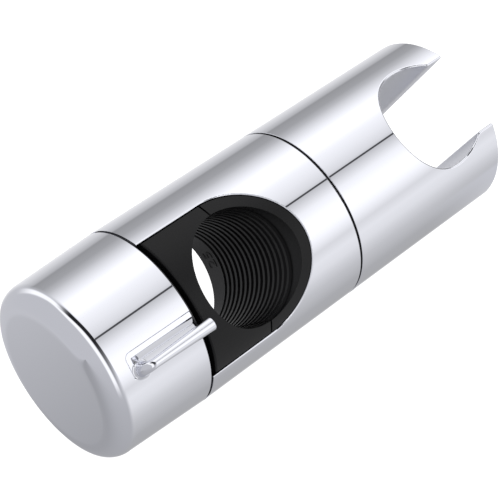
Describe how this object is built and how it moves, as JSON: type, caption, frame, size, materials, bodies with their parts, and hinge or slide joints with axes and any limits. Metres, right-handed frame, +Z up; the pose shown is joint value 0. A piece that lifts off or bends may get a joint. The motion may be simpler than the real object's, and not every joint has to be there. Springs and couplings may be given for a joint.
{
  "type": "shower rail slider",
  "caption": "Slider for a shower rail: a twist knob clamps it on the rail and a swivelling fork holds the hand shower.",
  "frame": {"origin": "centre of the rail bore, on the barrel's axis", "axes": "+Z up the rail along the bore, +X along the barrel from the clamp knob towards the fork"},
  "size_m": [0.1143, 0.042, 0.0449],
  "materials": {
    "chrome_shell": "polished chrome plate on moulded plastic",
    "grip_black": "satin moulded plastic",
    "inner_black": "moulded acetal",
    "brass": "turned",
    "steel": "stainless",
    "rubber_ring": "nitrile rubber",
    "nylon": "natural nylon"
  },
  "bodies": {
    "barrel": {"body_sleeve": "chrome_shell", "rail_saddle": "grip_black", "bearing_collar": "inner_black", "collar_screws": "steel", "knob_o_ring": "rubber_ring", "thrust_washer": "nylon", "pivot_washer": "steel", "spring_washer": "steel", "friction_washer": "nylon", "fork_bush": "inner_black"},
    "knob": {"clamp_knob": "chrome_shell", "knob_hub": "inner_black", "hub_screws": "steel", "stop_pin": "steel", "retaining_clip": "steel"},
    "shoe": {"clamp_shoe": "grip_black", "clamp_stud": "brass"},
    "fork": {"holder_fork": "chrome_shell", "fork_core": "inner_black", "core_screws": "steel", "fork_insert": "brass", "pivot_screw": "steel"}
  },
  "joints": [
    {"name": "knob_turn", "type": "hinge", "parent": "barrel", "child": "knob", "pos_m": [-0.03, 0, 0], "axis": [1, 0, 0], "range_deg": [-67, 33]},
    {"name": "shoe_slide", "type": "slide", "parent": "barrel", "child": "shoe", "axis": [1, 0, 0], "range_m": [-0.000605, 0.000299]},
    {"name": "fork_swivel", "type": "hinge", "parent": "barrel", "child": "fork", "pos_m": [0.027, 0, 0], "axis": [1, 0, 0], "continuous": true}
  ],
  "couplings": [
    {"joint": "shoe_slide", "follows": "knob_turn", "m_per_rad": 0.00051566}
  ]
}
